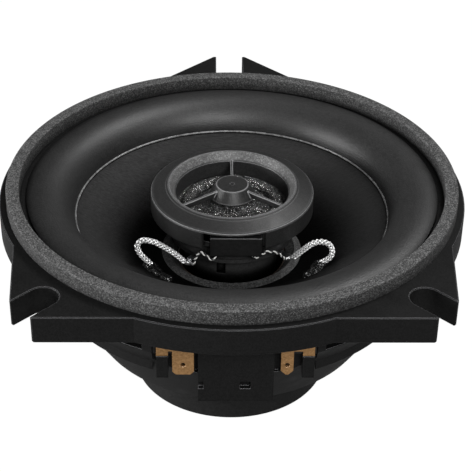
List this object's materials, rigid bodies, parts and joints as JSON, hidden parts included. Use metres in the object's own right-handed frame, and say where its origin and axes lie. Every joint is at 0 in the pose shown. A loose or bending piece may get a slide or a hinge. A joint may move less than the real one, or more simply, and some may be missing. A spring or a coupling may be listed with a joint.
{
  "type": "coaxial car speaker",
  "caption": "Round coaxial speaker for a car panel: square-cornered slotted flange, rubber surround, cone, tweeter on a centre post, blade terminals and booted magnet.",
  "frame": {"origin": "on the speaker's axis, in the back face of the flange that lies on the panel", "axes": "+Z along the axis towards the listener, +Y to the single rear ear, +X to the right seen from the front with that ear up"},
  "size_m": [0.1104, 0.1247, 0.0546],
  "materials": {
    "frame_plastic": "fine matt moulding",
    "gasket_foam": "open foam",
    "surround_rubber": "satin",
    "cone_paper": "fine pressed fibre",
    "collar_cloth": "glue-soaked cloth",
    "former_film": "smooth film",
    "copper_wire": "enamelled wire",
    "spider_cloth": "resin-treated cloth",
    "zinc_steel": "zinc plated",
    "ferrite": "ground ceramic",
    "boot_rubber": "smooth satin",
    "bright_steel": "bright plated",
    "fibre_board": "pressed board",
    "terminal_brass": "stamped sheet",
    "tinned_braid": "fine braid",
    "post_plastic": "fine matt moulding",
    "tweeter_plastic": "fine grain moulding",
    "dome_film": "metallised mesh film",
    "capacitor_case": "moulded case",
    "wire_sleeve": "twisted sleeves",
    "black_glue": "set rubber glue"
  },
  "bodies": {
    "frame": {"basket_frame": "frame_plastic", "front_gasket": "gasket_foam", "surround": "surround_rubber", "spider": "spider_cloth", "front_plate": "zinc_steel", "ring_magnet": "ferrite", "pole_yoke": "zinc_steel", "magnet_boot": "boot_rubber", "motor_screws": "bright_steel", "terminal_board": "fibre_board", "terminal_wide": "terminal_brass", "terminal_narrow": "terminal_brass", "terminal_rivets": "terminal_brass", "rear_tinsel_leads": "tinned_braid", "tweeter_post": "post_plastic", "tweeter_housing": "tweeter_plastic", "centre_bolt": "bright_steel", "tweeter_yoke": "zinc_steel", "tweeter_magnet": "bright_steel", "tweeter_top_plate": "zinc_steel", "tweeter_suspension": "surround_rubber", "tweeter_bezel": "tweeter_plastic", "crossover_capacitor": "capacitor_case", "tweeter_wires": "wire_sleeve", "lead_tags": "bright_steel", "braided_lead_left": "tinned_braid", "braided_lead_right": "tinned_braid"},
    "cone_assembly": {"cone": "cone_paper", "neck_collar": "collar_cloth", "voice_coil_former": "former_film", "voice_coil_winding": "copper_wire", "glue_dots": "black_glue"},
    "tweeter_diaphragm": {"tweeter_dome": "dome_film", "tweeter_voice_coil": "copper_wire"}
  },
  "joints": [
    {"name": "cone_excursion", "type": "slide", "parent": "frame", "child": "cone_assembly", "axis": [0, 0, 1], "range_m": [-0.003, 0.003], "stiffness_N_per_m": 1500, "deforming": ["surround", "spider", "rear_tinsel_leads", "braided_lead_left", "braided_lead_right"]},
    {"name": "tweeter_excursion", "type": "slide", "parent": "frame", "child": "tweeter_diaphragm", "axis": [0, 0, 1], "range_m": [-0.00025, 0.00025], "stiffness_N_per_m": 2500, "deforming": ["tweeter_suspension"]}
  ]
}
